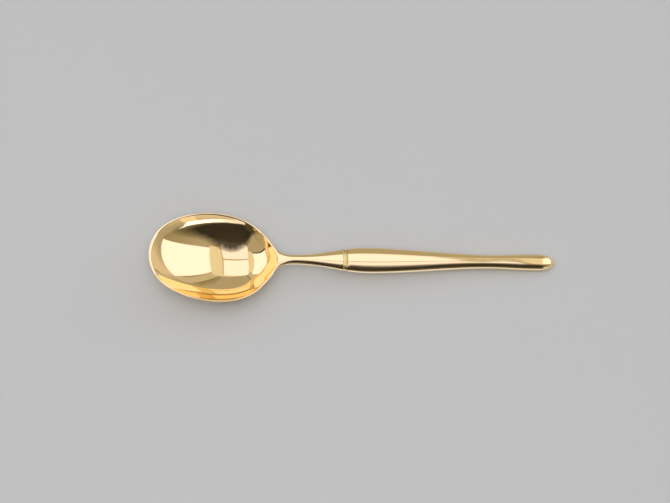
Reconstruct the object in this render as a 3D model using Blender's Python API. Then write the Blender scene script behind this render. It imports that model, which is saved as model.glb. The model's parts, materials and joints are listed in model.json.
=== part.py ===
"""Demitasse spoon with a hollow handle, lying on a table as it is laid down.

The bowl, neck and tang are one struck piece. The tang runs through a ferrule band into a
handle of two pressed half shells, where cement holds it. All sizes are in metres.

Design frame: X runs along the stem from the bowl (-X) to the handle's end (+X), with x = 0 at
the shoulder where the neck ends. Z = 0 is the plane where the two half shells meet.
"""

import math

import bmesh
import bpy
from mathutils import Vector

MM = 0.001

# Bowl, over the outside of its rim
BOWL_LENGTH = 34.7 * MM
BOWL_WIDTH = 25.5 * MM
BOWL_DEPTH = 6.2 * MM
BOWL_WALL = 1.2 * MM
BOWL_FULLNESS = 0.35
BOWL_EGG = 0.1
BOWL_POINT = 0.48
BOWL_SKEW = 0.12
RIM_WIDTH = 0.3 * MM
RIM_EDGE = 0.4 * MM
RIM_ABOVE_AXIS = 1.0 * MM
RIM_SWEEP = 1.5 * MM
RIM_RISE = 1.0 * MM
RIM_RISE_FROM = 0.65

# Neck, from the bowl's end to the shoulder
NECK_LENGTH = 16.8 * MM
NECK_WIDTH = 2.65 * MM
NECK_THICKNESS = 2.1 * MM
NECK_DIP = 0.15 * MM
ROOT_WIDTH = 10.0 * MM
ROOT_LENGTH = 4.2 * MM
HEEL_BLEND = 2.4 * MM
HEEL_DROP = 0.55 * MM
SHOULDER_WIDTH = 5.96 * MM
SHOULDER_THICKNESS = 2.75 * MM
SHOULDER_FLARE = 0.21

# Tang, behind the shoulder
TANG_LENGTH = 18.0 * MM
TANG_WIDTH = 3.0 * MM
TANG_THICKNESS = 1.25 * MM
TANG_TIP_WIDTH = 1.8 * MM
TANG_TIP_THICKNESS = 0.9 * MM

# Ferrule band between the shoulder and the handle's mouth
BAND_LENGTH = 1.3 * MM
BAND_COVE = 0.22 * MM

# Handle, with places measured from its mouth
HANDLE_LENGTH = 55.3 * MM
MOUTH_WIDTH = 6.18 * MM
MOUTH_THICKNESS = 2.9 * MM
MOUTH_FLARE = 0.13
BULGE_AT = 4.65 * MM
BULGE_WIDTH = 7.06 * MM
BULGE_THICKNESS = 3.2 * MM
WAIST_AT = 37.95 * MM
WAIST_WIDTH = 3.7 * MM
WAIST_THICKNESS = 2.9 * MM
FLARE_AT = 49.45 * MM
FLARE_WIDTH = 4.4 * MM
FLARE_THICKNESS = 3.1 * MM
END_ROUND = 3.9 * MM
SHELL_WALL = 0.5 * MM
END_SOLID = 3.0 * MM

# Joints: a soldered seam, and the skin of cement round the core and the tang
SOLDER_GAP = 0.05 * MM
CEMENT_GAP = 0.06 * MM

# Mesh resolution, in cells
BOWL_CELLS = 20
ROOT_CELLS = 8
FISHTAIL_CELLS = 6
NECK_CELLS = 14
SECTION_CELLS = 10
HANDLE_CELLS = 32
END_CELLS = 6
BAND_CELLS = 4

# Size of the flat pattern's rim square, where the hollow's square is 1
LAND = 1.1

BOWL_CENTRE = -NECK_LENGTH - BOWL_LENGTH / 2
NECK_START = -NECK_LENGTH + ROOT_LENGTH


def mix(a, b, share):
    return a + (b - a) * share


def ease(share):
    return share * share * (3 - 2 * share)


def blended_lower(a, b, radius):
    """The lower of two heights, with a fillet of about this radius where they cross."""
    near = max(radius - abs(a - b), 0.0) / radius
    return min(a, b) - near * near * radius / 4


def track(x, stations):
    """A smooth curve through (place, value, slope) stations."""
    for (x0, y0, slope0), (x1, y1, slope1) in zip(stations, stations[1:]):
        if x <= x1:
            break
    run = x1 - x0
    t = min(max((x - x0) / run, 0.0), 1.0)
    leaving = run * slope0 * t * (1 - t) ** 2
    arriving = run * slope1 * t * t * (1 - t)
    return mix(y0, y1, ease(t)) + leaving - arriving


def verts_of(geometry):
    return [g for g in geometry if isinstance(g, bmesh.types.BMVert)]


def edges_of(geometry):
    return [g for g in geometry if isinstance(g, bmesh.types.BMEdge)]


def faces_of(geometry):
    return [g for g in geometry if isinstance(g, bmesh.types.BMFace)]


# Oval sections, shared by the neck, tang, band and handle


def oval_height(half_thickness, s):
    """Height of an oval above its middle plane, s of the way out. Its sides are upright."""
    side = min(RIM_EDGE / 2, half_thickness / 4)
    return side + (half_thickness - side) * math.sqrt(max(1 - s * s, 0.0))


def oval_point(step, half_width, half_thickness):
    """One point of an oval: over the top by this many cells, then back underneath."""
    top = step <= SECTION_CELLS
    turn = step if top else 2 * SECTION_CELLS + 1 - step
    s = math.sin(math.pi * (turn / SECTION_CELLS - 0.5))
    height = oval_height(half_thickness, s)
    return s * half_width, height if top else -height


def tube(mesh, sections):
    """A skin through sections of (x, half width, half thickness). Ends that meet are merged."""
    around = 2 * SECTION_CELLS + 2
    along = len(sections) - 1
    grid = bmesh.ops.create_grid(mesh, x_segments=along, y_segments=around, size=0.5)["verts"]
    for vert in grid:
        x, half_width, half_thickness = sections[round((vert.co.x + 0.5) * along)]
        step = round((vert.co.y + 0.5) * around) % around
        vert.co = (x, *oval_point(step, half_width, half_thickness))
    bmesh.ops.remove_doubles(mesh, verts=grid, dist=1e-4 * MM)


def fill_openings(mesh):
    bmesh.ops.holes_fill(mesh, edges=[e for e in mesh.edges if e.is_boundary])


# Bowl: p runs from -1 at its tip to 1 at the neck, and q from -1 to 1 across it


def disc(u, v):
    """A point of the square grid, moved onto the round disc."""
    return u * math.sqrt(1 - v * v / 2), v * math.sqrt(1 - u * u / 2)


def root_line():
    """Where the edge of the root lies on the square grid's neck side."""
    return ROOT_WIDTH / BOWL_WIDTH * math.sqrt(2)


def spread(v):
    """Grid lines across the bowl, with the root's lines held at the root's width."""
    share = ROOT_CELLS / BOWL_CELLS
    if abs(v) <= share:
        return v * root_line() / share
    return math.copysign(mix(root_line(), 1.0, (abs(v) - share) / (1 - share)), v)


def taper(p):
    """The bowl's width against an ellipse's: more of it towards the tip, less towards the neck."""
    return 1 - BOWL_POINT * p**5 if p > 0 else 1 - BOWL_EGG * p**3


def bowl_plan(p, q, inset):
    """Plan position of a point of the disc, whose edge is the rim or inset from it."""
    x = BOWL_CENTRE + (BOWL_LENGTH / 2 - inset) * p
    y = (BOWL_WIDTH / 2 - inset) * q * taper(p)
    return x, y


def rim_height(p):
    """The rim's height: it sinks from the tip on, and rises again where it runs into the neck."""
    rise = max(p - RIM_RISE_FROM, 0.0) / (1 - RIM_RISE_FROM)
    return RIM_ABOVE_AXIS - RIM_SWEEP * math.sin(p * math.pi / 2) + RIM_RISE * rise * rise


def dish(p, q):
    """Share of the bowl's depth at a point of the disc: 1 at the bottom, 0 at the rim."""
    square = p * p + q * q
    return (1 - mix(square, square * square, BOWL_FULLNESS)) * (1 + BOWL_SKEW * p)


def bowl_underside(x, y):
    p = (x - BOWL_CENTRE) / (BOWL_LENGTH / 2)
    q = y / (BOWL_WIDTH / 2 * taper(p))
    level = rim_height(min(p, 1.0)) - RIM_EDGE
    return level - (BOWL_DEPTH + BOWL_WALL - RIM_EDGE) * dish(p, q)


def heel_depth(across):
    """How far the heel under the root hangs below the neck's middle, this far across it."""
    return (NECK_THICKNESS / 2 + HEEL_DROP) * (1 - across * across)


def bowl_point(u, v, top):
    """The bowl at a point of the pattern: the hollow, then the flat rim round it."""
    on_rim = max(abs(u), abs(v)) > 1.01
    reach = LAND if on_rim else 1.0
    p, q = disc(u / reach, spread(v / reach))
    x, y = bowl_plan(p, q, 0.0 if on_rim else RIM_WIDTH)
    if top and on_rim:
        return x, y, rim_height(p)
    if top:
        return x, y, rim_height(p) - BOWL_DEPTH * dish(p, q)
    if p < 0:
        return x, y, bowl_underside(x, y)
    heel = -NECK_DIP - heel_depth(2 * y / ROOT_WIDTH)
    return x, y, blended_lower(bowl_underside(x, y), heel, HEEL_BLEND)


# Root, where the rim spreads out of the neck like a fish's tail: t runs from rim to neck


def root_corner():
    """The point of the rim where the root's curved edge starts, and the rim's heading there."""
    here = Vector(bowl_plan(*disc(1.0, root_line()), 0.0))
    before = Vector(bowl_plan(*disc(1.0, root_line() + 0.01), 0.0))
    return here, (here - before).normalized()


def root_edge(t):
    start, leaving = root_corner()
    end = Vector((NECK_START, NECK_WIDTH / 2))
    pull = (end - start).length * 1.2
    leave = leaving * pull * t * (1 - t) ** 2
    arrive = Vector((1.0, 0.0)) * pull * t * t * (1 - t)
    return start.lerp(end, ease(t)) + leave - arrive


def root_point(t, s, v, top):
    """The root at t, on the line that leaves the rim at v and reaches the neck's section at s."""
    start, _ = root_corner()
    edge = root_edge(t)
    p, q = disc(1.0, v)
    rim_x, rim_y = bowl_plan(p, q, 0.0)
    x = mix(rim_x, NECK_START, (edge.x - start.x) / (NECK_START - start.x))
    across = mix(rim_y / start.y, s, t)
    y = edge.y * across
    oval = oval_height(NECK_THICKNESS / 2, across)
    if top:
        return x, y, mix(rim_height(p), oval - NECK_DIP, ease(t))
    heel = -NECK_DIP - mix(heel_depth(across), oval, ease(t))
    return x, y, blended_lower(bowl_underside(x, y), heel, HEEL_BLEND)


# Neck


def neck_half_sizes(x):
    slope = SHOULDER_FLARE * SHOULDER_THICKNESS / SHOULDER_WIDTH
    start = (NECK_START, NECK_WIDTH / 2, 0.0)
    width = track(x, (start, (0.0, SHOULDER_WIDTH / 2, SHOULDER_FLARE)))
    start = (NECK_START, NECK_THICKNESS / 2, 0.0)
    thickness = track(x, (start, (0.0, SHOULDER_THICKNESS / 2, slope)))
    return width, thickness


def stem_point(step, v, top):
    """The root and neck, by steps along the pattern's strip."""
    s = math.sin(v * BOWL_CELLS / ROOT_CELLS * math.pi / 2)
    if step <= FISHTAIL_CELLS:
        return root_point(step / FISHTAIL_CELLS, s, spread(v), top)
    share = (step - FISHTAIL_CELLS) / NECK_CELLS
    x = NECK_START * (1 - share)
    half_width, half_thickness = neck_half_sizes(x)
    height = oval_height(half_thickness, s)
    middle = -NECK_DIP * (1 - ease(share))
    return x, half_width * s, middle + (height if top else -height)


# The struck piece


def flat_blank(mesh):
    """The blank in pattern units: a square for the hollow, its rim, and a strip for the stem."""
    bmesh.ops.create_grid(mesh, x_segments=BOWL_CELLS, y_segments=BOWL_CELLS, size=1.0)
    outline = [e for e in mesh.edges if e.is_boundary]
    rim = bmesh.ops.extrude_edge_only(mesh, edges=outline)["geom"]
    bmesh.ops.scale(mesh, vec=(LAND, LAND, LAND), verts=verts_of(rim))
    limit = LAND * ROOT_CELLS / BOWL_CELLS + 0.01
    edges = [
        e
        for e in edges_of(rim)
        if all(v.co.x > LAND - 0.01 and abs(v.co.y) < limit for v in e.verts)
    ]
    for _ in range(FISHTAIL_CELLS + NECK_CELLS):
        grown = bmesh.ops.extrude_edge_only(mesh, edges=edges)["geom"]
        bmesh.ops.translate(mesh, vec=(1.0, 0.0, 0.0), verts=verts_of(grown))
        edges = edges_of(grown)
    slab = bmesh.ops.extrude_face_region(mesh, geom=mesh.faces[:], use_keep_orig=True)["geom"]
    bmesh.ops.translate(mesh, vec=(0.0, 0.0, 1.0), verts=verts_of(slab))


def press(point):
    """Where a point of the flat blank goes when the spoon is struck."""
    top = point.z > 0.5
    if point.x > LAND + 0.5:
        return stem_point(round(point.x - LAND), point.y / LAND, top)
    return bowl_point(point.x, point.y, top)


def draw_out(mesh, faces, length, width, thickness):
    """Extrudes the faces along X, to a section of this width and thickness."""
    made = bmesh.ops.extrude_face_region(mesh, geom=faces)["geom"]
    bmesh.ops.delete(mesh, geom=faces, context="FACES")
    verts = verts_of(made)
    wide = 2 * max(v.co.y for v in verts)
    high = 2 * max(v.co.z for v in verts)
    bmesh.ops.scale(mesh, vec=(1.0, width / wide, thickness / high), verts=verts)
    bmesh.ops.translate(mesh, vec=(length, 0.0, 0.0), verts=verts)
    return faces_of(made)


def bowl_and_shank(mesh):
    flat_blank(mesh)
    last = max(v.co.x for v in mesh.verts) - 0.01
    shoulder = [f for f in mesh.faces if all(v.co.x > last for v in f.verts)]
    for vert in mesh.verts:
        vert.co = press(vert.co)
    base = draw_out(mesh, shoulder, 0.0, TANG_WIDTH, TANG_THICKNESS)
    draw_out(mesh, base, TANG_LENGTH, TANG_TIP_WIDTH, TANG_TIP_THICKNESS)


def tang_hole(start, end):
    """Sections of the hole for the tang, with its skin of cement, between two places."""
    sections = []
    for x in (start, end):
        share = x / TANG_LENGTH
        half_width = mix(TANG_WIDTH, TANG_TIP_WIDTH, share) / 2 + CEMENT_GAP
        half_thickness = mix(TANG_THICKNESS, TANG_TIP_THICKNESS, share) / 2 + CEMENT_GAP
        sections.append((x, half_width, half_thickness))
    return sections


def ferrule_band(mesh):
    """A short ring, coved deepest near the shoulder, with the tang's hole through it."""
    start = SOLDER_GAP
    end = BAND_LENGTH - SOLDER_GAP
    outside = []
    for i in range(BAND_CELLS + 1):
        share = i / BAND_CELLS
        cove = BAND_COVE * math.sin(math.pi * math.sqrt(share))
        half_width = mix(SHOULDER_WIDTH, MOUTH_WIDTH, share) / 2 - cove
        half_thickness = mix(SHOULDER_THICKNESS, MOUTH_THICKNESS, share) / 2 - cove
        outside.append((mix(start, end, share), half_width, half_thickness))
    tube(mesh, outside + tang_hole(end, start) + outside[:1])


# Handle, in its own frame with x = 0 at the mouth


def handle_half_sizes(x):
    slope = MOUTH_FLARE * MOUTH_THICKNESS / MOUTH_WIDTH
    width = (
        (0.0, MOUTH_WIDTH / 2, MOUTH_FLARE),
        (BULGE_AT, BULGE_WIDTH / 2, 0.0),
        (WAIST_AT, WAIST_WIDTH / 2, 0.0),
        (FLARE_AT, FLARE_WIDTH / 2, 0.0),
        (HANDLE_LENGTH, FLARE_WIDTH / 2, 0.0),
    )
    thickness = (
        (0.0, MOUTH_THICKNESS / 2, slope),
        (BULGE_AT, BULGE_THICKNESS / 2, 0.0),
        (WAIST_AT, WAIST_THICKNESS / 2, 0.0),
        (FLARE_AT, FLARE_THICKNESS / 2, 0.0),
        (HANDLE_LENGTH, FLARE_THICKNESS / 2, 0.0),
    )
    return track(x, width), track(x, thickness)


def handle_skin(start, end, inset):
    """Sections of the handle inset from its outside, from the start to a rounded end."""
    body_end = end - END_ROUND
    places = [(mix(start, body_end, i / HANDLE_CELLS), 1.0) for i in range(HANDLE_CELLS)]
    for i in range(END_CELLS + 1):
        turn = math.pi / 2 * i / END_CELLS
        places.append((body_end + END_ROUND * math.sin(turn), math.cos(turn)))
    sections = []
    for x, share in places:
        half_width, half_thickness = handle_half_sizes(x)
        sections.append((x, (half_width - inset) * share, (half_thickness - inset) * share))
    return sections


def handle_half(mesh, side):
    """Half of the hollow handle, on the upper (1) or lower (-1) side of the soldered seam."""
    outside = handle_skin(0.0, HANDLE_LENGTH, 0.0)
    inside = handle_skin(0.0, HANDLE_LENGTH - END_SOLID, SHELL_WALL)
    tube(mesh, outside[::-1] + inside)
    bmesh.ops.bisect_plane(
        mesh,
        geom=mesh.verts[:] + mesh.edges[:] + mesh.faces[:],
        dist=1e-4 * MM,
        plane_co=(0.0, 0.0, side * SOLDER_GAP / 2),
        plane_no=(0.0, 0.0, side),
        clear_inner=True,
    )
    fill_openings(mesh)


def cement_fill(mesh):
    """The core between the half shells, bored for the tang."""
    end = HANDLE_LENGTH - END_SOLID - CEMENT_GAP
    outside = handle_skin(CEMENT_GAP, end, SHELL_WALL + CEMENT_GAP)
    bore = tang_hole(BAND_LENGTH + CEMENT_GAP, TANG_LENGTH + CEMENT_GAP)
    bore = [(x - BAND_LENGTH, half_width, half_thickness) for x, half_width, half_thickness in bore]
    tube(mesh, outside[::-1] + bore)
    fill_openings(mesh)


# Scene


def clear_scene():
    for old in list(bpy.data.objects):
        bpy.data.objects.remove(old)


def material(name, colour, metallic, roughness):
    made = bpy.data.materials.new(name)
    made.use_nodes = True
    shader = made.node_tree.nodes["Principled BSDF"]
    shader.inputs["Base Color"].default_value = (*colour, 1.0)
    shader.inputs["Metallic"].default_value = metallic
    shader.inputs["Roughness"].default_value = roughness
    return made


def add_empty(name, parent, place, group):
    made = bpy.data.objects.new(name, None)
    made.empty_display_size = 5 * MM
    made.location = place
    made.parent = parent
    group.objects.link(made)
    return made


def add_part(name, mesh, look, parent, group):
    """The finished mesh as an object, with faces out and rounded sides shaded smooth."""
    bmesh.ops.recalc_face_normals(mesh, faces=mesh.faces[:])
    data = bpy.data.meshes.new(name)
    mesh.to_mesh(data)
    mesh.free()
    data.shade_smooth()
    data.set_sharp_from_angle(angle=math.radians(35))
    data.materials.append(look)
    made = bpy.data.objects.new(name, data)
    made.parent = parent
    group.objects.link(made)


def lay_down(spoon, group):
    """Tilts the spoon until bowl and handle rest on z = 0, and centres its box over the origin."""
    bpy.context.view_layer.update()
    points = []
    for part in group.objects:
        if part.type == "MESH":
            points += [part.matrix_world @ v.co for v in part.data.vertices]
    slope = 0.0
    for _ in range(8):
        bowl = min((p for p in points if p.x < 0), key=lambda p: p.z - slope * p.x)
        handle = min((p for p in points if p.x > 0), key=lambda p: p.z - slope * p.x)
        slope = (handle.z - bowl.z) / (handle.x - bowl.x)
    spoon.rotation_euler.y = math.atan(slope)
    turn = spoon.rotation_euler.to_matrix()
    turned = [turn @ p for p in points]
    middle = (min(p.x for p in turned) + max(p.x for p in turned)) / 2
    spoon.location = (-middle, 0.0, -min(p.z for p in turned))


def main():
    clear_scene()
    group = bpy.data.collections.new("demitasse_spoon")
    bpy.context.scene.collection.children.link(group)
    gilt = material("polished_gilt_metal", (0.95, 0.68, 0.27), 1.0, 0.08)
    seam = material("brushed_gilt_metal", (0.80, 0.55, 0.21), 1.0, 0.25)
    cement = material("resin_cement", (0.13, 0.11, 0.09), 0.0, 0.85)
    spoon = add_empty("spoon", None, (0.0, 0.0, 0.0), group)
    handle = add_empty("handle", spoon, (BAND_LENGTH, 0.0, 0.0), group)

    mesh = bmesh.new()
    bowl_and_shank(mesh)
    add_part("bowl_and_shank", mesh, gilt, spoon, group)
    mesh = bmesh.new()
    ferrule_band(mesh)
    add_part("ferrule_band", mesh, seam, spoon, group)
    for name, side in (("handle_upper_half", 1), ("handle_lower_half", -1)):
        mesh = bmesh.new()
        handle_half(mesh, side)
        add_part(name, mesh, gilt, handle, group)
    mesh = bmesh.new()
    cement_fill(mesh)
    add_part("cement_fill", mesh, cement, handle, group)
    lay_down(spoon, group)


main()
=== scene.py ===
# %% [markdown]
# # A gilt demitasse spoon
# This lesson dresses a small coffee spoon for a picture. The spoon has a bowl that runs on into a slim
# neck, a narrow band, and a hollow handle soldered together from two pressed halves. A imported CAD model
# gives the size and the place of every piece. It is loaded as a fixed frame, and the finer pieces made
# here ride on it.

import json
import math

import bpy
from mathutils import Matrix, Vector

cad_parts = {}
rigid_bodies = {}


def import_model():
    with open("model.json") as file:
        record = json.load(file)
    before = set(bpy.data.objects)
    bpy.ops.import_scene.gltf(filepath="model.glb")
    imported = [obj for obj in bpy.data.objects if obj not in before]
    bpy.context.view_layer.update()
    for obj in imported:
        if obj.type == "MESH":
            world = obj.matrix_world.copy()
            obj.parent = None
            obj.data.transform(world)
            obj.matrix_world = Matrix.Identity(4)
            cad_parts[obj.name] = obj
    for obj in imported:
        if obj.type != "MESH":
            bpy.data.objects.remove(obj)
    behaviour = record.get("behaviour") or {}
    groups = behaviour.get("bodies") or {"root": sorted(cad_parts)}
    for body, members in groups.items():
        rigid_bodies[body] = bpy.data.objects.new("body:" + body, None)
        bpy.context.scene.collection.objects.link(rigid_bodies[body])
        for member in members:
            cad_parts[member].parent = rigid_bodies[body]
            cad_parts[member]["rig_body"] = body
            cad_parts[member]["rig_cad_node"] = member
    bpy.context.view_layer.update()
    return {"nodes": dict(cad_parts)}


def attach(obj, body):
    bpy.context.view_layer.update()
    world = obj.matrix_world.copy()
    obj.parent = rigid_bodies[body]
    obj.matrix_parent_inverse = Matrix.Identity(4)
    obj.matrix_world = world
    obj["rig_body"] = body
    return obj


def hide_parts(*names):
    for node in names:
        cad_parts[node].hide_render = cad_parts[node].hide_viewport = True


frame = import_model()
MM = 0.001
print("CAD nodes:", sorted(frame["nodes"]))

# %% [markdown]
# ## Working on one thing at a time
# A Blender operator acts on all that is selected, and the loaded frame comes in selected. So every step
# below first clears the selection and then takes up one object. In edit mode the same holds for points,
# edges and faces: they are picked in code, by where they are.

# %% Take up one object
def take_up(piece):
    """Makes piece the only selected object, and the active one."""
    if bpy.context.object and bpy.context.object.mode != "OBJECT":
        bpy.ops.object.mode_set(mode="OBJECT")
    bpy.ops.object.select_all(action="DESELECT")
    piece.select_set(True)
    bpy.context.view_layer.objects.active = piece


def pick_points(piece, wanted):
    """Selects, in edit mode, the points of piece for which wanted(place) is true."""
    bpy.ops.object.mode_set(mode="OBJECT")
    for point in piece.data.vertices:
        point.select = False
    for edge in piece.data.edges:
        edge.select = False
    for face in piece.data.polygons:
        face.select = False
    for point in piece.data.vertices:
        point.select = bool(wanted(point.co))
    bpy.ops.object.mode_set(mode="EDIT")
    bpy.ops.mesh.select_mode(type="VERT")


def finish_with(piece, kind, **settings):
    """Adds a modifier of this kind, sets it up and applies it."""
    take_up(piece)
    modifier = piece.modifiers.new(kind.title(), kind)
    for name, value in settings.items():
        setattr(modifier, name, value)
    bpy.ops.object.modifier_apply(modifier=modifier.name)


def count(piece):
    """Says how many faces a piece has."""
    print(f"{piece.name}: {len(piece.data.polygons)} faces")


# %% [markdown]
# ## The bowl and the neck
# On the real spoon the bowl and the neck are one pressed blank: the rim runs in two flowing lines into
# the neck, and a rounded heel carries the bowl's back into it. The shape could be modelled again, but
# the CAD node already has it, with its faces in tidy rows. So a copy of the node is used as a cage. Its
# loose triangles are merged at their shared points and joined into four-sided faces again.

# %% Copy the pressed blank
MERGE = 0.002 * MM
FLAT_PAIR = math.radians(70)
SQUARE_PAIR = math.radians(120)
KEEP_ROWS = 2.0

take_up(frame["nodes"]["bowl_and_shank"])
bpy.ops.object.duplicate()
bowl = bpy.context.object
bowl.name = "bowl_and_neck"
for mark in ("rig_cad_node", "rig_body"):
    if mark in bowl:
        del bowl[mark]
bpy.ops.object.parent_clear(type="CLEAR_KEEP_TRANSFORM")
bpy.ops.mesh.customdata_custom_splitnormals_clear()
bpy.ops.object.mode_set(mode="EDIT")
bpy.ops.mesh.select_all(action="SELECT")
bpy.ops.mesh.remove_doubles(threshold=MERGE)
bpy.ops.mesh.tris_convert_to_quads(face_threshold=FLAT_PAIR, shape_threshold=SQUARE_PAIR,
                                   topology_influence=KEEP_ROWS)
bpy.ops.mesh.tris_convert_to_quads(face_threshold=math.pi, shape_threshold=math.pi)
bpy.ops.object.mode_set(mode="OBJECT")
count(bowl)

# %% [markdown]
# A Subdivision Surface modifier now rounds the cage. It would round the rim and the shoulder too, so
# their sharp edges first get a crease, which holds them part of the way.

# %% Round the blank, and hold its edges
SHARP = math.radians(32)
EDGE_HOLD = 0.55
ROUNDING = 2

take_up(bowl)
bpy.ops.object.mode_set(mode="EDIT")
bpy.ops.mesh.select_mode(type="EDGE")
bpy.ops.mesh.select_all(action="DESELECT")
bpy.ops.mesh.edges_select_sharp(sharpness=SHARP)
bpy.ops.transform.edge_crease(value=EDGE_HOLD)
bpy.ops.object.mode_set(mode="OBJECT")
finish_with(bowl, "SUBSURF", levels=ROUNDING, render_levels=ROUNDING)
count(bowl)

# %% [markdown]
# A mirror shows slopes better than any ruler. What the bowl mirrors near the neck says that the hollow
# runs out there more gently than the cage does. So one spot on each flank is lifted by a quarter of a
# millimetre, with proportional editing: the points around follow, less and less with distance. Only
# connected points follow, so the underside of the bowl stays where it is.

# %% Ease the hollow's flanks
FLANK = Vector((-25.0, 5.8)) * MM
FLANK_SPOT = 0.5 * MM
FLANK_FLOOR = 3.6 * MM
FLANK_LIFT = 0.28 * MM
FLANK_SOFT = 3.0 * MM
SMOOTH_BELOW = math.radians(50)

take_up(bowl)
pick_points(bowl, lambda place: place.z > FLANK_FLOOR
            and (Vector((place.x, abs(place.y))) - FLANK).length < FLANK_SPOT)
bpy.ops.transform.translate(value=(0, 0, FLANK_LIFT), use_proportional_edit=True,
                            proportional_edit_falloff="SMOOTH", proportional_size=FLANK_SOFT,
                            use_proportional_connected=True)
bpy.ops.object.mode_set(mode="OBJECT")
bpy.ops.object.shade_smooth_by_angle(angle=SMOOTH_BELOW)
print("points lifted on the flanks:", sum(point.select for point in bowl.data.vertices))

# %% [markdown]
# ## Measuring the handle
# The handle is an oval tube that swells behind the band, draws in to a waist and flares again to a round
# end. Its skin is a mirror, so it is modelled anew with more and smoother faces than a CAD solid needs.
# To keep its size, the CAD halves are measured as with callipers: a ray from the side meets the skin and
# gives half the width, and a ray from above gives half the thickness. The flat face at the mouth says
# which way the handle points.

# %% Find the handle's axis
upper_half = frame["nodes"]["handle_upper_half"]
lower_half = frame["nodes"]["handle_lower_half"]
mouth_face = min(upper_half.data.polygons, key=lambda face: face.center.x)
along = -mouth_face.normal.copy()
across = Vector((0, 1, 0))
upward = along.cross(across)
tips = [max((point.co for point in half.data.vertices), key=lambda place: place.dot(along))
        for half in (upper_half, lower_half)]
handle_end = (tips[0] + tips[1]) / 2
handle_length = (handle_end - mouth_face.center).dot(along)
handle_mouth = handle_end - along * handle_length
pitch = math.atan2(-along.z, along.x)
print(f"handle: {handle_length / MM:.2f} mm long, pitched {math.degrees(pitch):.2f} degrees")

# %% Callipers
FAR = 20 * MM
SEAM_CLEAR = 0.1 * MM
RIDGE_CLEAR = 0.01 * MM


def calliper(node, place):
    """Half the width and half the thickness of a node's skin, at a place on the handle's axis."""
    side = node.ray_cast(place + across * FAR + upward * SEAM_CLEAR, -across)[1]
    top = node.ray_cast(place + upward * FAR + across * RIDGE_CLEAR, -upward)[1]
    return (side - place).dot(across), (top - place).dot(upward)


# %% [markdown]
# ## The handle's skin
# A tube with a changing section can be lofted along a curve or turned, but an oval that changes in both
# directions is easiest to draw out by hand: a ring is extruded a little way, scaled to the next measured
# size, extruded again, and so on to the end. The ring starts as a circle turned half a step, so that the
# seam runs between two of its points. Its top and bottom halves are then moved apart a little, which
# gives the oval its short upright sides.

# %% Helpers for drawing out a ring
RING_POINTS = 44
SIDE_HEIGHT = 0.2 * MM


def start_ring(name, size):
    """Adds an oval ring of (half width, half thickness) across the X axis, and stays in edit mode."""
    bpy.ops.object.select_all(action="DESELECT")
    bpy.ops.mesh.primitive_circle_add(vertices=RING_POINTS, radius=1, fill_type="NOTHING",
                                      rotation=(0, math.pi / 2, 0))
    piece = bpy.context.object
    piece.name = piece.data.name = name
    bpy.ops.object.transform_apply(location=True, rotation=True, scale=True)
    bpy.ops.object.mode_set(mode="EDIT")
    bpy.ops.mesh.select_all(action="SELECT")
    half_step = math.pi / RING_POINTS
    bpy.ops.transform.rotate(value=half_step, orient_axis="X", center_override=(0, 0, 0))
    fit = 1 / math.cos(half_step)
    bpy.ops.transform.resize(value=(1, size[0] * fit, size[1] - SIDE_HEIGHT))
    for sign in (1, -1):
        pick_points(piece, lambda place: place.z * sign > 0)
        bpy.ops.transform.translate(value=(0, 0, sign * SIDE_HEIGHT))
    bpy.ops.mesh.select_all(action="SELECT")
    return piece


def draw_out(step, scale):
    """Extrudes the selected ring along X and scales it in its own plane."""
    bpy.ops.mesh.extrude_region_move(TRANSFORM_OT_translate={"value": (step, 0, 0)})
    bpy.ops.transform.resize(value=(1, scale[0], scale[1]))


def end_ring():
    """Turns all faces of the drawn-out skin outwards, and leaves edit mode."""
    bpy.ops.mesh.select_all(action="SELECT")
    bpy.ops.mesh.normals_make_consistent(inside=False)
    bpy.ops.object.mode_set(mode="OBJECT")


# %% Draw out the handle
END_ROUND = 3.9 * MM
STRAIGHT_STEPS = 26
END_STEPS = 5
END_SHY = 0.02 * MM
END_SCALE = 0.45
MOUTH_CLEAR = 0.02 * MM
END_TURN = math.pi / 2 / (END_STEPS + 1)

straight = handle_length - END_ROUND
stations = [straight * step / STRAIGHT_STEPS for step in range(STRAIGHT_STEPS + 1)]
stations += [straight + END_ROUND * math.sin(END_TURN * step) for step in range(1, END_STEPS + 1)]
sizes = [calliper(upper_half, handle_mouth + along * max(place, MOUTH_CLEAR)) for place in stations]
handle = start_ring("handle", sizes[0])
for last, now, was, size in zip(stations, stations[1:], sizes, sizes[1:]):
    draw_out(now - last, (size[0] / was[0], size[1] / was[1]))
draw_out(handle_length - stations[-1] - END_SHY, (END_SCALE, END_SCALE))
bpy.ops.mesh.fill_grid(span=RING_POINTS // 4)
end_ring()
for spot, at in (("mouth", 0), ("middle", STRAIGHT_STEPS // 2), ("end", STRAIGHT_STEPS)):
    print(f"handle at its {spot}: {2 * sizes[at][0] / MM:.2f} x {2 * sizes[at][1] / MM:.2f} mm")

# %% [markdown]
# The open skin is rounded first. Then a Solidify modifier gives it the pressed sheet's wall, inwards,
# and a Bevel takes the sharpness off the mouth. The finished tube is turned to the handle's slope and
# moved to its mouth, and its place is applied, so that it sits in its mesh.

# %% Round the skin, give it its wall, put it in place
SHELL_WALL = 0.5 * MM
MOUTH_EDGE = 0.05 * MM
BEVEL_STEPS = 2
BEVEL_ABOVE = math.radians(60)


def make_sheet(piece, wall, edge):
    """Rounds an open skin, gives it a wall inwards, and takes the sharpness off its edges."""
    finish_with(piece, "SUBSURF", levels=ROUNDING, render_levels=ROUNDING)
    finish_with(piece, "SOLIDIFY", thickness=wall, offset=-1, use_even_offset=True)
    finish_with(piece, "BEVEL", width=edge, segments=BEVEL_STEPS, limit_method="ANGLE",
                angle_limit=BEVEL_ABOVE)


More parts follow.
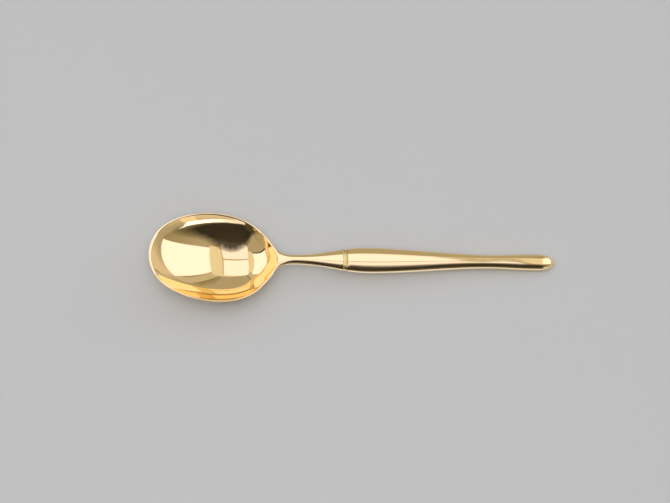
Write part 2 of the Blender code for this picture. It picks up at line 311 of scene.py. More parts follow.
def set_in_place(piece, place):
    """Turns a piece to the handle's slope, moves it to a place and applies both."""
    take_up(piece)
    piece.rotation_euler = (0, pitch, 0)
    piece.location = place
    bpy.ops.object.transform_apply(location=True, rotation=True, scale=True)


make_sheet(handle, SHELL_WALL, MOUTH_EDGE)
set_in_place(handle, handle_mouth)
count(handle)

# %% [markdown]
# The real handle is pressed in two halves that are soldered along the sides. So the tube is copied, and
# a Bisect keeps the upper half of one and the lower half of the other. Bisect counts points nearer to
# its plane than a threshold as lying on it. On a thing as small as a spoon its usual threshold would
# take in too many, so it gets a finer one. The open edges that the cut leaves are closed with one face.

# %% Part the handle at its seam
SEAM_EXACT = 0.001 * MM


def keep_half(piece, above):
    """Cuts a piece at the seam and keeps the part above or below it."""
    take_up(piece)
    bpy.ops.object.mode_set(mode="EDIT")
    bpy.ops.mesh.select_all(action="SELECT")
    bpy.ops.mesh.bisect(plane_co=handle_mouth, plane_no=upward, threshold=SEAM_EXACT,
                        clear_inner=above, clear_outer=not above)
    bpy.ops.mesh.select_mode(type="EDGE")
    bpy.ops.mesh.select_all(action="DESELECT")
    bpy.ops.mesh.select_non_manifold(extend=False)
    bpy.ops.mesh.edge_face_add()
    bpy.ops.object.mode_set(mode="OBJECT")
    bpy.ops.object.shade_smooth_by_angle(angle=SMOOTH_BELOW)
    count(piece)


take_up(handle)
bpy.ops.object.duplicate()
handle_under = bpy.context.object
handle.name = handle.data.name = "handle_top"
handle_under.name = handle_under.data.name = "handle_underside"
keep_half(handle, True)
keep_half(handle_under, False)

# %% [markdown]
# ## The ferrule band
# Between the neck's shoulder and the handle sits a narrow ring with a shallow cove turned into it. It
# hides the solder joint. It is drawn out from a ring as the handle is, through six measured stations. It
# ends a little short of the handle, which leaves the solder as a fine dark line.

# %% Draw out the band
BAND_STEPS = 5
BAND_WALL = 0.5 * MM
BAND_EDGE = 0.04 * MM
BAND_CLEAR = 0.01 * MM
SOLDER_LINE = 0.07 * MM

band_node = frame["nodes"]["ferrule_band"]
reach = [(point.co - handle_mouth).dot(along) for point in band_node.data.vertices]
band_start, band_stop = min(reach), max(reach)
band_length = band_stop - band_start - SOLDER_LINE
band_places = [band_start + band_length * step / BAND_STEPS for step in range(BAND_STEPS + 1)]
band_inside = [min(max(place, band_start + BAND_CLEAR), band_stop - BAND_CLEAR)
               for place in band_places]
band_sizes = [calliper(band_node, handle_mouth + along * place) for place in band_inside]
band = start_ring("ferrule_ring", band_sizes[0])
for was, size in zip(band_sizes, band_sizes[1:]):
    draw_out(band_length / BAND_STEPS, (size[0] / was[0], size[1] / was[1]))
end_ring()
make_sheet(band, BAND_WALL, BAND_EDGE)
set_in_place(band, handle_mouth + along * band_start)
bpy.ops.object.shade_smooth_by_angle(angle=SMOOTH_BELOW)
count(band)

# %% [markdown]
# ## Materials: helpers
# Colours are written as hex values, the way a paint program shows them, and turned to the linear values
# that the renderer works in. One function adds a node, sets it up and links it.

# %% Colour and node helpers
def linear(hex_colour):
    """An sRGB hex colour as linear RGBA."""
    channels = [int(hex_colour[at:at + 2], 16) / 255 for at in (1, 3, 5)]
    return [c / 12.92 if c <= 0.04045 else ((c + 0.055) / 1.055) ** 2.4 for c in channels] + [1.0]


def add_node(tree, kind, inputs=None, **settings):
    """Adds a node with its settings. An input is a value, or another node's output to link."""
    node = tree.nodes.new(kind)
    for name, value in settings.items():
        setattr(node, name, value)
    for socket, value in (inputs or {}).items():
        if isinstance(value, bpy.types.NodeSocket):
            tree.links.new(value, node.inputs[socket])
        else:
            node.inputs[socket].default_value = value
    return node


def start_material(name):
    """A new material with its node tree and its Principled shader."""
    material = bpy.data.materials.new(name)
    material.use_nodes = True
    print("material:", name)
    return material, material.node_tree, material.node_tree.nodes["Principled BSDF"]


# %% [markdown]
# ## Gold plate, mirror-polished
# The spoon is brass with a thin coat of gold, buffed to a mirror. Gold keeps red and most of the green
# light and loses much of the blue, so a white lamp shows in it as cream. What keeps it from looking like
# a computer's mirror are small faults: the plate's colour drifts a little over some millimetres, and
# wiping leaves hairlines that haze the mirror here and there.

# %% Make the polished gold plate
CLOUD = 9 * MM
HAIR_WIDTH = 0.12 * MM
HAIR_LENGTH = 5 * MM
HAIR_FAINT, HAIR_FULL = 0.35, 0.75
CLEAN_MIRROR, HAZED_MIRROR = 0.03, 0.075
PALE_GOLD, DEEP_GOLD = "#FFE4AC", "#FFE1A2"


def polished_gold(name):
    """Gold plate over brass, buffed to a mirror."""
    material, tree, shader = start_material(name)
    place = add_node(tree, "ShaderNodeTexCoord").outputs["Object"]
    cloud = add_node(tree, "ShaderNodeTexNoise", {"Vector": place, "Scale": 1 / CLOUD, "Detail": 2.0})
    tint = add_node(tree, "ShaderNodeMix",
                    {0: cloud.outputs["Fac"], 6: linear(PALE_GOLD), 7: linear(DEEP_GOLD)},
                    data_type="RGBA")
    stretch = add_node(tree, "ShaderNodeMapping",
                       {"Vector": place, "Scale": (HAIR_WIDTH / HAIR_LENGTH, 1, 1)})
    hairs = add_node(tree, "ShaderNodeTexNoise",
                     {"Vector": stretch.outputs["Vector"], "Scale": 1 / HAIR_WIDTH, "Detail": 1.0})
    haze = add_node(tree, "ShaderNodeMapRange",
                    {"Value": hairs.outputs["Fac"], "From Min": HAIR_FAINT, "From Max": HAIR_FULL,
                     "To Min": CLEAN_MIRROR, "To Max": HAZED_MIRROR})
    tree.links.new(tint.outputs[2], shader.inputs["Base Color"])
    tree.links.new(haze.outputs["Result"], shader.inputs["Roughness"])
    shader.inputs["Metallic"].default_value = 1.0
    return material


gold_plate = polished_gold("gold_plate_mirror_polished")

# %% [markdown]
# ## Gold plate, turned
# The band was left as the lathe tool cut it: fine rings run round it, too shallow to feel, and they
# spread every highlight, so it looks duller than the polished pieces beside it. Its gold is also set
# darker and browner than theirs: painted shade, on what is the same plate.

# %% Make the turned gold plate
TURN_PITCH = 0.1 * MM
TURN_DEPTH = 0.01 * MM
TURN_RELIEF = 0.3
TURN_LENGTHEN = 0.02
TURNED_BRIGHT, TURNED_DULL = 0.16, 0.3
# Darker and browner than the polished gold: painted shade on the same plate.
PALE_TURNED_SHADED, DEEP_TURNED_SHADED = "#EFD693", "#DCC27E"


def turned_gold(name):
    """Gold plate over brass that keeps the fine rings of the lathe tool."""
    material, tree, shader = start_material(name)
    place = add_node(tree, "ShaderNodeTexCoord").outputs["Object"]
    squeeze = add_node(tree, "ShaderNodeMapping",
                       {"Vector": place, "Rotation": (0, -pitch, 0),
                        "Scale": (1, TURN_LENGTHEN, TURN_LENGTHEN)})
    rings = add_node(tree, "ShaderNodeTexNoise",
                     {"Vector": squeeze.outputs["Vector"], "Scale": 1 / TURN_PITCH, "Detail": 2.0})
    tint = add_node(tree, "ShaderNodeMix",
                    {0: rings.outputs["Fac"], 6: linear(PALE_TURNED_SHADED), 7: linear(DEEP_TURNED_SHADED)},
                    data_type="RGBA")
    dull = add_node(tree, "ShaderNodeMapRange",
                    {"Value": rings.outputs["Fac"], "To Min": TURNED_BRIGHT, "To Max": TURNED_DULL})
    relief = add_node(tree, "ShaderNodeBump",
                      {"Height": rings.outputs["Fac"], "Strength": TURN_RELIEF,
                       "Distance": TURN_DEPTH})
    tree.links.new(tint.outputs[2], shader.inputs["Base Color"])
    tree.links.new(dull.outputs["Result"], shader.inputs["Roughness"])
    tree.links.new(relief.outputs["Normal"], shader.inputs["Normal"])
    shader.inputs["Metallic"].default_value = 1.0
    return material


gold_band = turned_gold("gold_plate_turned")

# %% [markdown]
# ## Resin cement
# Dark resin fills the handle and holds the tang. It is never seen on the whole spoon. It is the CAD
# node itself, and it only gets a finish: a grainy, matt brown-grey with pale specks of filler.

# %% Make the resin cement
FILLER_GRAIN = 0.4 * MM
GRAIN_DEPTH = 0.05 * MM
GRAIN_RELIEF = 0.4
DARK_RESIN, PALE_RESIN = "#4E463E", "#7A7066"
RESIN_ROUGHNESS = 0.7
RESIN_IOR = 1.55


def resin_cement(name):
    """Cast resin with mineral filler."""
    material, tree, shader = start_material(name)
    place = add_node(tree, "ShaderNodeTexCoord").outputs["Object"]
    grain = add_node(tree, "ShaderNodeTexNoise",
                     {"Vector": place, "Scale": 1 / FILLER_GRAIN, "Detail": 3.0})
    tint = add_node(tree, "ShaderNodeMix",
                    {0: grain.outputs["Fac"], 6: linear(DARK_RESIN), 7: linear(PALE_RESIN)},
                    data_type="RGBA")
    relief = add_node(tree, "ShaderNodeBump",
                      {"Height": grain.outputs["Fac"], "Strength": GRAIN_RELIEF,
                       "Distance": GRAIN_DEPTH})
    tree.links.new(tint.outputs[2], shader.inputs["Base Color"])
    tree.links.new(relief.outputs["Normal"], shader.inputs["Normal"])
    shader.inputs["Roughness"].default_value = RESIN_ROUGHNESS
    shader.inputs["IOR"].default_value = RESIN_IOR
    return material


cement = resin_cement("resin_cement_cast")

# %% [markdown]
# ## Dressing the frame
# Each piece gets its finish, rides on the spoon's only body, and says which CAD node it stands for.
# The cement is the CAD node itself, so it only changes its material.

# %% Dress the pieces
def dress(piece, material, node):
    """Gives a piece its finish and its body, hides the CAD node it stands for, and says which node that
    is.
    """
    piece.data.materials.clear()
    piece.data.materials.append(material)
    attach(piece, "root")
    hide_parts(node)
    print(f"{piece.name} stands for {node}")


dress(bowl, gold_plate, "bowl_and_shank")
dress(band, gold_band, "ferrule_band")
dress(handle, gold_plate, "handle_upper_half")
dress(handle_under, gold_plate, "handle_lower_half")
for holder in frame["nodes"]["cement_fill"].material_slots:
    holder.material = cement

# %% [markdown]
# ## The table
# The spoon lies on a plain pale grey sheet. A large square would do, but its corners could show from
# low angles, so a wide disc is used. A very weak, wide mottle keeps it from looking like a flat fill.

# %% Lay the table
FLOOR_RADIUS = 4.0
FLOOR_POINTS = 96
MOTTLE_SCALE = 6.0
DARK_PAPER, PALE_PAPER = "#D3D3D3", "#D6D6D6"
PAPER_ROUGHNESS = 0.9
PAPER_SHEEN = 0.1

bpy.ops.object.select_all(action="DESELECT")
bpy.ops.mesh.primitive_circle_add(vertices=FLOOR_POINTS, radius=FLOOR_RADIUS, fill_type="NGON")
floor = bpy.context.object
floor.name = "table_sheet"
paper, tree, shader = start_material("matt_grey_paper")
place = add_node(tree, "ShaderNodeTexCoord").outputs["Object"]
mottle = add_node(tree, "ShaderNodeTexNoise", {"Vector": place, "Scale": MOTTLE_SCALE, "Detail": 2.0})
tint = add_node(tree, "ShaderNodeMix",
                {0: mottle.outputs["Fac"], 6: linear(DARK_PAPER), 7: linear(PALE_PAPER)},
                data_type="RGBA")
tree.links.new(tint.outputs[2], shader.inputs["Base Color"])
shader.inputs["Roughness"].default_value = PAPER_ROUGHNESS
shader.inputs["Specular IOR Level"].default_value = PAPER_SHEEN
floor.data.materials.append(paper)
print(f"table: a disc {2 * FLOOR_RADIUS:g} m wide")

# %% [markdown]
# ## Studio light
# A mirror shows its surroundings, so most of the look of a polished spoon is the room around it. The
# metal needs bright shapes to mirror, and the paper needs soft light. An area lamp could do both, but it
# is see-through: the room behind would add to it. So each soft box is a pair here: a white front that
# only the metal sees, cut from a plane by its four corners, and a lamp in the same place that lights the
# paper. The fronts burn at daylight, a little bluer than the room. One more lamp hangs just over the
# camera, where it throws no shadow that the camera sees, and lightens those of the others.

# %% Helpers for the cards and boxes round the spoon
DAYLIGHT = (1.0, 1.0, 1.28, 1.0)
BLACK = (0, 0, 0, 1)


def only_mirrored(card):
    """Keeps a card out of the picture and out of the light: only the metal sees it."""
    card.visible_camera = False
    card.visible_diffuse = False
    card.visible_transmission = False
    card.visible_shadow = False
    print("only mirrored:", card.name)


def stand_card(name, corners, material):
    """A flat card with its corners, taken in a round, at these places."""
    bpy.ops.object.select_all(action="DESELECT")
    bpy.ops.mesh.primitive_plane_add(size=1)
    card = bpy.context.object
    card.name = name
    for point, at in zip(card.data.vertices, (0, 1, 3, 2)):
        point.co = corners[at]
    card.data.materials.append(material)
    only_mirrored(card)


def glowing_cloth(name, colour, glow):
    """Glowing sheet: a box's diffuser cloth lit from behind, or painted light or shade on the other
    cards.
    """
    material, _, shader = start_material(name)
    shader.inputs["Base Color"].default_value = BLACK
    shader.inputs["Emission Color"].default_value = colour
    shader.inputs["Emission Strength"].default_value = glow
    return material


def hang_lamp(name, corners, strength):
    """A lamp, as large as the four corners, that lights the paper and is never mirrored."""
    a, b, c, d = map(Vector, corners)
    middle = (a + b + c + d) / 4
    side, rise = (b - a + c - d) / 2, (d - a + c - b) / 2
    data = bpy.data.lights.new(name, "AREA")
    data.shape = "RECTANGLE"
    data.size, data.size_y = side.length, rise.length
    data.energy = strength * math.pi * side.length * rise.length
    lamp = bpy.data.objects.new(name, data)
    lamp.location = middle
    lamp.rotation_euler = middle.to_track_quat("Z", "Y").to_euler()
    lamp.visible_camera = False
    lamp.visible_glossy = False
    bpy.context.scene.collection.objects.link(lamp)
    print(f"lamp: {name}, {data.energy:.2f} W")


def soft_box(name, corners, glow, lamp):
    """A glowing front for the metal, and a lamp of its own strength in the same place for the paper."""
    stand_card(name, corners, glowing_cloth(name + "_cloth", DAYLIGHT, glow))
    hang_lamp(name + "_lamp", corners, lamp)


# %% Set up the soft boxes
FRONT_GLOW, BACK_GLOW, SIDE_GLOW = 1.09, 1.17, 1.25
TOP_LAMP, SIDE_LAMP, FILL_LAMP = 1.8, 0.37, 3.6
OVERHEAD_FRONT = [(-0.454, -0.384, 0.8), (0.227, -0.388, 0.8), (0.201, 0.128, 0.8), (-0.322, 0.070, 0.8)]
OVERHEAD_BACK = [(-0.322, 0.106, 0.8), (0.201, 0.168, 0.8), (0.216, 0.666, 0.8), (-0.395, 0.834, 0.8)]
RIGHT_BOX = [(0.305, -0.108, 0.661), (0.636, -0.082, 0.299), (0.634, 0.893, 0.227),
             (0.295, 0.468, 0.628)]
LEFT_BOX = [(-0.502, -0.123, 0.686), (-0.885, -0.250, 0.255), (-0.87, 0.95, 0.24),
            (-0.485, 0.744, 0.668)]
OVER_CAMERA = [(-0.35, -1.05, 1.50), (0.35, -1.05, 1.50), (0.35, -0.41, 1.79), (-0.35, -0.41, 1.79)]

soft_box("soft_box_overhead_front", OVERHEAD_FRONT, FRONT_GLOW, TOP_LAMP)
soft_box("soft_box_overhead_back", OVERHEAD_BACK, BACK_GLOW, SIDE_LAMP)
soft_box("soft_box_right", RIGHT_BOX, SIDE_GLOW, SIDE_LAMP)
soft_box("soft_box_left", LEFT_BOX, SIDE_GLOW, SIDE_LAMP)
hang_lamp("fill", OVER_CAMERA, FILL_LAMP)

# %% [markdown]
# Between the boxes the metal sees the white ceiling that they light up. That light is painted: the
# ceiling card glows by itself, dimmer and warmer than the boxes.

# %% Hang the ceiling
SPILL = (0.83, 0.775, 0.68, 1.0)
CEILING = [(-0.62, -0.2, 0.83), (0.4, -0.2, 0.83), (0.4, 0.78, 0.83), (-0.62, 0.78, 0.83)]

stand_card("lit_ceiling", CEILING, glowing_cloth("ceiling_painted_light", SPILL, 1.0))

# %% [markdown]
# Some shapes round a studio are bent, and a flat card would look cut off in the bowl. These are ribbons:
# a grid one cell high, whose two rows of points are pushed to their places. Where a ribbon fades along
# its length or across it, an attribute gives each point its share of the ribbon's glow or cover.

# %% Helpers for ribbons
def bend_ribbon(name, one_edge, other_edge, material, shares=()):
    """A ribbon between two rows of places, with a share for each place where the ribbon fades."""
    bpy.ops.object.select_all(action="DESELECT")
    bpy.ops.mesh.primitive_grid_add(x_subdivisions=len(one_edge) - 1, y_subdivisions=1, size=1)
    ribbon = bpy.context.object
    ribbon.name = name
    for point, place in zip(ribbon.data.vertices, one_edge + other_edge):
        point.co = place
    if shares:
        cover = ribbon.data.attributes.new("cover", "FLOAT", "POINT")
        cover.data.foreach_set("value", shares)
    ribbon.data.materials.append(material)
    only_mirrored(ribbon)


def use_cover(material, socket):
    """Lets the attribute drive one socket of a material's shader."""
    tree = material.node_tree
    tree.links.new(add_node(tree, "ShaderNodeAttribute", attribute_name="cover").outputs["Fac"],
                   tree.nodes["Principled BSDF"].inputs[socket])


# %% [markdown]
# A low strip of light in front draws the bright crescent under the bowl's far rim. It is narrow and dim
# at its left end and broad and bright at its right.

# %% Bend the strip of light
STRIP_Y = -0.522
STRIP_LOW = [(-0.318, 0.135), (-0.142, 0.142), (-0.025, 0.145), (0.075, 0.156), (0.173, 0.172),
             (0.275, 0.194), (0.380, 0.229), (0.480, 0.312), (0.592, 0.375), (0.690, 0.424)]
STRIP_HIGH = [(-0.318, 0.150), (-0.141, 0.186), (-0.017, 0.196), (0.093, 0.212), (0.201, 0.236),
              (0.322, 0.271), (0.466, 0.323), (0.518, 0.350), (0.609, 0.393), (0.697, 0.431)]
STRIP_GLOW = [0.9, 1.0, 1.15, 1.7] + 6 * [1.9]

strip_cloth = glowing_cloth("strip_cloth", DAYLIGHT, 1.0)
use_cover(strip_cloth, "Emission Strength")
bend_ribbon("low_strip_front", [(x, STRIP_Y, z) for x, z in STRIP_LOW],
            [(x, STRIP_Y, z) for x, z in STRIP_HIGH], strip_cloth, 2 * STRIP_GLOW)

# %% [markdown]
# Each side box has a hood, whose lining shows as a tan crescent behind the box. The light on the lining
# is painted, as a glow. Beyond the hood the room is in brown shade, painted on a glowing sheet that fades
# out.

# %% Bend the hoods and their shade
RIGHT_BOX_BACK = [(0.655, 0.946, 0.225), (0.640, 0.930, 0.320), (0.620, 0.909, 0.414),
                  (0.568, 0.849, 0.588), (0.500, 0.767, 0.749), (0.421, 0.671, 0.883),
                  (0.300, 0.66, 0.950)]
RIGHT_HOOD_END = [(0.603, 0.990, 0.169), (0.536, 1.027, 0.193), (0.488, 1.032, 0.289),
                  (0.453, 0.994, 0.449), (0.409, 0.920, 0.624), (0.350, 0.841, 0.762),
                  (0.269, 0.743, 0.892)]
RIGHT_SHADE_END = [(0.450, 1.073, 0.184), (0.372, 1.104, 0.193), (0.325, 1.087, 0.337),
                   (0.270, 1.058, 0.467), (0.235, 0.889, 0.756)]
LEFT_BOX_BACK = [(-0.500, 0.900, 0.980), (-0.597, 0.958, 0.844), (-0.726, 1.011, 0.667),
                 (-0.838, 1.039, 0.461), (-0.926, 1.039, 0.254)]
LEFT_HOOD_END = [(-0.345, 0.860, 1.065), (-0.460, 0.977, 0.910), (-0.571, 1.151, 0.587),
                 (-0.656, 1.227, 0.237), (-0.681, 1.233, -0.06)]
LEFT_SHADE_END = [(-0.393, 1.028, 0.883), (-0.507, 1.174, 0.603), (-0.596, 1.251, 0.278),
                  (-0.631, 1.262, -0.014), (-0.64, 1.26, -0.1)]
BROWN = (0.25, 0.21, 0.105, 1.0)
LINING_GLOW = 0.68
NO_COVER = 5 * [0.0]

# The lining's glow is painted light; the brown sheets are painted shade.
lining = glowing_cloth("hood_lining_painted_light", SPILL, LINING_GLOW)
shade = glowing_cloth("brown_shade", BROWN, 1.0)
use_cover(shade, "Alpha")
bend_ribbon("hood_right", RIGHT_BOX_BACK, RIGHT_HOOD_END, lining)
bend_ribbon("shade_right", RIGHT_HOOD_END[2:], RIGHT_SHADE_END, shade, [0.3, 1, 1, 1, 0.3] + NO_COVER)
bend_ribbon("hood_left", LEFT_BOX_BACK, LEFT_HOOD_END, lining)
bend_ribbon("shade_left", LEFT_HOOD_END, LEFT_SHADE_END, shade, [0.3, 1, 1, 1, 1] + NO_COVER)

# %% [markdown]
# A soft box has a frame round its cloth, and the metal shows it as a thin line, darker than the ceiling.
# Here the frames glow by themselves, so their tone is painted light.
# Three such lines can be told apart in the bowl: between the two boxes overhead, along their right side,
# and along the back of the right box.

# %% Frame the boxes
FRAME_WIDTH = 0.017
FRAME_MIDDLE = [(-0.322, 0.070, 0.805), (0.201, 0.128, 0.805), (0.201, 0.168, 0.805),
                (-0.322, 0.106, 0.805)]
FRAME_TOP = [(0.214, -0.388, 0.795), (0.189, 0.128, 0.795), (0.189, 0.168, 0.795), (0.203, 0.666, 0.795)]
FRAME_BACK = [(0.465, 0.667, 0.320), (0.434, 0.648, 0.402), (0.390, 0.582, 0.535), (0.363, 0.537, 0.600),
              (0.324, 0.500, 0.656)]
FRAME_BACK_END = [(0.448, 0.694, 0.288), (0.421, 0.679, 0.362), (0.378, 0.613, 0.509),
                  (0.353, 0.568, 0.578), (0.318, 0.526, 0.639)]
OVERHEAD_FRAME_GLOW, RIGHT_FRAME_GLOW = 0.62, 0.42

frame_overhead = glowing_cloth("frame_overhead_painted_light", SPILL, OVERHEAD_FRAME_GLOW)
frame_right = glowing_cloth("frame_right_painted_light", SPILL, RIGHT_FRAME_GLOW)
stand_card("frame_overhead_middle", FRAME_MIDDLE, frame_overhead)
bend_ribbon("frame_overhead_right", FRAME_TOP, [(x + FRAME_WIDTH, y, z) for x, y, z in FRAME_TOP],
            frame_overhead)
bend_ribbon("frame_right_back", FRAME_BACK, FRAME_BACK_END, frame_right)

# %% [markdown]
# The room's light and shade in front are painted on glowing sheets, which only the metal sees. On the
# left the painted shade is brown, on the right olive, and both fade out upwards. A dark painted shade
# goes on from the brown one towards the camera, and a pale painted light stands low on the other side.

# %% Stand the front walls
LEFT_WALL_LOW = [(-0.853, -0.553, 0.040), (-0.914, -0.448, 0.040), (-0.963, -0.336, 0.040)]
LEFT_WALL_HIGH = [(-0.787, -0.509, 0.396), (-0.844, -0.412, 0.396), (-0.896, -0.329, 0.363)]
RIGHT_WALL_LOW = [(0.838, -0.791, 0.527), (0.984, -0.589, 0.527), (1.090, -0.363, 0.517),
                  (1.151, -0.119, 0.496)]
RIGHT_WALL_HIGH = [(0.532, -0.685, 0.944), (0.665, -0.492, 0.975), (0.737, -0.279, 1.005),
                   (0.748, -0.077, 1.033)]
DARK_WALL_LOW = [(-0.373, -0.655, 0.045), (-0.424, -0.626, 0.045), (-0.557, -0.520, 0.045),
                 (-0.641, -0.420, 0.045), (-0.688, -0.342, 0.045), (-0.721, -0.271, 0.045)]
DARK_WALL_HIGH = [(-0.352, -0.616, 0.263), (-0.400, -0.588, 0.263), (-0.525, -0.489, 0.263),
                  (-0.604, -0.395, 0.263), (-0.649, -0.321, 0.263), (-0.680, -0.255, 0.263)]
FRONT_WALL = [(0.517, -1.043, 0.134), (0.739, -0.890, 0.134), (0.707, -0.853, 0.370),
              (0.494, -1.000, 0.370)]
LEFT_WALL_COVER = 3 * [1.0] + 3 * [0.0]
RIGHT_WALL_COVER = 4 * [0.7] + 4 * [0.0]
DARK_WALL_COVER = [0.0, 1.0, 1.0, 0.85, 0.65, 0.2, 0.0, 1.0, 1.0, 0.6, 0.25, 0.0]
# Glow colours of the painted shade and painted light that the metal shows in front.
BROWN_SHADE_GLOW = (0.44, 0.355, 0.18, 1.0)
OLIVE_SHADE_GLOW = (0.27, 0.235, 0.12, 1.0)
DARK_SHADE_GLOW = (0.05, 0.042, 0.02, 1.0)
PALE_LIGHT_GLOW = (0.92, 0.835, 0.69, 1.0)

brown_shade_paint = glowing_cloth("brown_painted_shade", BROWN_SHADE_GLOW, 1.0)
olive_shade_paint = glowing_cloth("olive_painted_shade", OLIVE_SHADE_GLOW, 1.0)
dark_shade_paint = glowing_cloth("dark_painted_shade", DARK_SHADE_GLOW, 1.0)
for paint in (brown_shade_paint, olive_shade_paint, dark_shade_paint):
    use_cover(paint, "Alpha")
bend_ribbon("wall_left", LEFT_WALL_LOW, LEFT_WALL_HIGH, brown_shade_paint, LEFT_WALL_COVER)
bend_ribbon("wall_dark_shade", DARK_WALL_LOW, DARK_WALL_HIGH, dark_shade_paint, DARK_WALL_COVER)
bend_ribbon("wall_right", RIGHT_WALL_LOW, RIGHT_WALL_HIGH, olive_shade_paint, RIGHT_WALL_COVER)
stand_card("wall_front", FRONT_WALL, glowing_cloth("pale_painted_light", PALE_LIGHT_GLOW, 1.0))

# %% [markdown]
# ## Black cards
# Studios put black cards beside polished metal, because a mirror in an evenly bright room looks flat.
# One large card leans over in front, broad at its foot and narrow at its top. A card that close is out
# of focus in the mirror, so its edge fades out. It is cut from a disc: the rim's points are pushed to
# where the card has faded, the face is inset, and the inset's points are pushed to where it is still
# solid. An attribute, 1 inside and 0 on the rim, says how solid it is, and a Subdivision Surface rounds
# the outline. Near its top the felt is worn thin, and lets a little of the box behind it through.

# %% Cut the black card
CARD_SOLID = [(0.42, -0.34), (0.37, -0.40), (0.27, -0.46), (0.05, -0.52), (-0.26, -0.58),
              (-0.65, -0.65), (-0.94, -0.66), (-0.64, -0.42), (-0.45, -0.22), (-0.26, -0.03),
              (-0.13, 0.09), (-0.02, 0.18), (0.08, 0.21), (0.15, 0.18), (0.20, 0.12),
              (0.25, 0.05), (0.29, -0.08), (0.34, -0.21), (0.39, -0.29)]
CARD_FADED = [(0.80, -0.30), (0.50, -0.42), (0.29, -0.52), (0.05, -0.57), (-0.29, -0.62),
              (-0.75, -0.74), (-1.35, -0.85), (-1.15, -0.42), (-0.65, -0.12), (-0.31, 0.03),
              (-0.15, 0.12), (-0.02, 0.23), (0.10, 0.26), (0.17, 0.24), (0.23, 0.18),
              (0.29, 0.12), (0.38, 0.05), (0.62, 0.02), (0.95, -0.12)]
CARD_LEAN = math.radians(28.2)
CARD_PLACE = (-0.033, -0.2675, 0.5105)
CARD_INSET = 0.001
CARD_TOP = -0.05
CARD_TOP_COVER = 0.95
FELT = "#474039"

felt, _, shader = start_material("black_felt")
shader.inputs["Base Color"].default_value = linear(FELT)
shader.inputs["Roughness"].default_value = 1.0
use_cover(felt, "Alpha")

bpy.ops.object.select_all(action="DESELECT")
bpy.ops.mesh.primitive_circle_add(vertices=len(CARD_FADED), radius=1, fill_type="NGON")
card = bpy.context.object
card.name = "black_card"
for point, (across_card, up_card) in zip(card.data.vertices, CARD_FADED):
    point.co = (across_card, up_card, 0)
bpy.ops.object.mode_set(mode="EDIT")
bpy.ops.mesh.select_all(action="SELECT")
bpy.ops.mesh.inset(thickness=CARD_INSET, use_boundary=True)
bpy.ops.object.mode_set(mode="OBJECT")
cover = card.data.attributes.new("cover", "FLOAT", "POINT")
for spoke in card.data.edges:
    rim, inner = sorted(spoke.vertices)
    if rim < len(CARD_FADED) <= inner:
        card.data.vertices[inner].co = (*CARD_SOLID[rim], 0)
        cover.data[inner].value = CARD_TOP_COVER if CARD_SOLID[rim][1] > CARD_TOP else 1.0
finish_with(card, "SUBSURF", levels=ROUNDING, render_levels=ROUNDING)
card.rotation_euler = (CARD_LEAN, 0, 0)
card.location = CARD_PLACE
card.data.materials.append(felt)
only_mirrored(card)
count(card)

# %% [markdown]
# The left box has a dark front edge, which shows as a thin line. A low brown card lies just in front of
# the handle, where it stands in for the table's shade as painted shade, and lets the dark line along its
# near side run right down. A glowing strip lies on the table between the two: a painted highlight that
# edges the metal with a thin light line, which parts it from its shadow.

# %% Set up the box's edge, the low card and the painted highlight strip
BROWN_CLOTH = "#6E6250"
HIGHLIGHT_STRIP_COLOUR = (0.9, 0.95, 1.2, 1.0)
HIGHLIGHT_STRIP_GLOW = 0.9
BOX_EDGE = [(-0.502, -0.123, 0.686), (-0.502, -0.155, 0.686), (-0.885, -0.325, 0.255),
            (-0.885, -0.250, 0.255)]
LOW_CARD = [(-0.03, -0.015, 0.0005), (0.062, -0.015, 0.0005), (0.062, -0.03, 0.016),
            (-0.03, -0.03, 0.0155)]
HIGHLIGHT_STRIP_CORNERS = [(-0.02, -0.003, 0.0004), (0.056, -0.003, 0.0004), (0.056, -0.0148, 0.0004),
               (-0.02, -0.0148, 0.0004)]

cloth, _, shader = start_material("brown_cloth")
shader.inputs["Base Color"].default_value = linear(BROWN_CLOTH)
shader.inputs["Roughness"].default_value = 1.0
stand_card("left_box_edge", BOX_EDGE, cloth)
stand_card("low_card", LOW_CARD, cloth)
stand_card("painted_highlight_strip", HIGHLIGHT_STRIP_CORNERS, glowing_cloth("painted_highlight_glow", HIGHLIGHT_STRIP_COLOUR, HIGHLIGHT_STRIP_GLOW))

# %% [markdown]
# ## The room
# The rest of the room is a plain warm grey: bright low down, where the table runs on, and darker higher
# up and at the back wall. Only the metal sees these bands. The paper is lit by their average, and the
# camera sees the same pale grey as the table.

# %% Paint the room
ROOM_BANDS = [(0.0, "#DFD4CE"), (0.2, "#DFD4CE"), (0.33, "#B2ACA0")]
BACK_WALL_FROM, BACK_WALL_TO, BACK_WALL_BAND = 0.6, 0.85, 0.33
ROOM_AVERAGE = (0.305, 0.305, 0.305, 1)
CAMERA_GREY = "#C3C3C3"

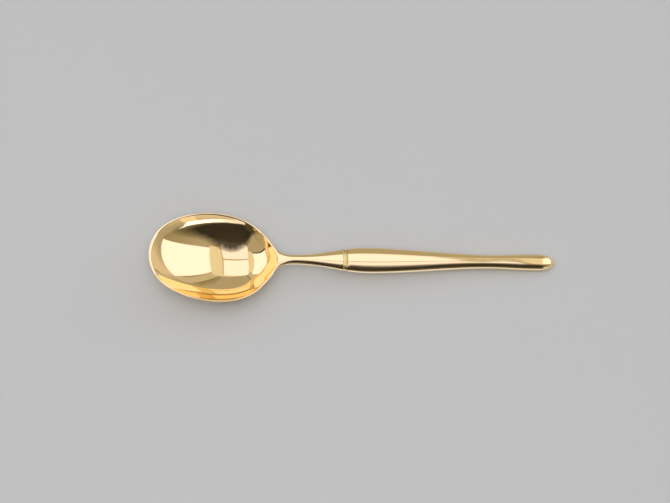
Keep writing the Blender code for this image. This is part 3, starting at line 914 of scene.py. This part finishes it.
world = bpy.data.worlds.new("studio_room")
bpy.context.scene.world = world
world.use_nodes = True
tree = world.node_tree
tree.nodes.clear()
aim = add_node(tree, "ShaderNodeTexCoord").outputs["Generated"]
heading = add_node(tree, "ShaderNodeSeparateXYZ", {0: aim})
back_wall = add_node(tree, "ShaderNodeMapRange",
                     {"Value": heading.outputs["Y"], "From Min": BACK_WALL_FROM,
                      "From Max": BACK_WALL_TO, "To Min": 0.0, "To Max": BACK_WALL_BAND})
height = add_node(tree, "ShaderNodeMath", {0: heading.outputs["Z"], 1: back_wall.outputs["Result"]},
                  operation="MAXIMUM")
bands = add_node(tree, "ShaderNodeValToRGB", {0: height.outputs["Value"]})
stops = bands.color_ramp.elements
for at, (place, tone) in enumerate(ROOM_BANDS):
    stop = stops[at] if at < 2 else stops.new(place)
    stop.position = place
    stop.color = linear(tone)
path = add_node(tree, "ShaderNodeLightPath")
lit = add_node(tree, "ShaderNodeMix",
               {0: path.outputs["Is Glossy Ray"], 6: ROOM_AVERAGE, 7: bands.outputs["Color"]},
               data_type="RGBA")
shown = add_node(tree, "ShaderNodeMix",
                 {0: path.outputs["Is Camera Ray"], 6: lit.outputs[2], 7: linear(CAMERA_GREY)},
                 data_type="RGBA")
glow = add_node(tree, "ShaderNodeBackground", {"Color": shown.outputs[2]})
add_node(tree, "ShaderNodeOutputWorld", {"Surface": glow.outputs[0]})
print("bands of the room, from low to high:", [tone for place, tone in ROOM_BANDS])

# %% [markdown]
# ## The camera
# The picture looks down on the spoon at about 66 degrees, almost square to its length, from 0.6 m, with
# a long lens. The camera is placed by its aim, its two angles and its distance.

# %% Place the camera
CAMERA_RISE = math.radians(65.94)
CAMERA_SWING = math.radians(0.849)
CAMERA_DISTANCE = 600 * MM
CAMERA_AIM = Vector((-4, 0, 4)) * MM
AIM_RIGHT, AIM_UP = -0.718 * MM, 2.725 * MM
LENS = 121.0
FILM_WIDTH = 36.0
NEAREST, FARTHEST = 0.01, 20.0

look = Vector((math.sin(CAMERA_SWING) * math.cos(CAMERA_RISE),
               math.cos(CAMERA_SWING) * math.cos(CAMERA_RISE), -math.sin(CAMERA_RISE)))
right = Vector((math.cos(CAMERA_SWING), -math.sin(CAMERA_SWING), 0))
above = right.cross(look)
data = bpy.data.cameras.new("camera")
data.sensor_width = FILM_WIDTH
data.lens = LENS
data.clip_start, data.clip_end = NEAREST, FARTHEST
camera = bpy.data.objects.new("camera", data)
turn = camera.matrix_world.copy()
spot = CAMERA_AIM + right * AIM_RIGHT + above * AIM_UP - look * CAMERA_DISTANCE
for column, arrow in enumerate((right, above, -look, spot)):
    for row in range(3):
        turn[row][column] = arrow[row]
camera.matrix_world = turn
bpy.context.scene.collection.objects.link(camera)
bpy.context.scene.camera = camera
bpy.context.scene.view_settings.view_transform = "Standard"
print("camera at, in m:", [round(length, 3) for length in spot])
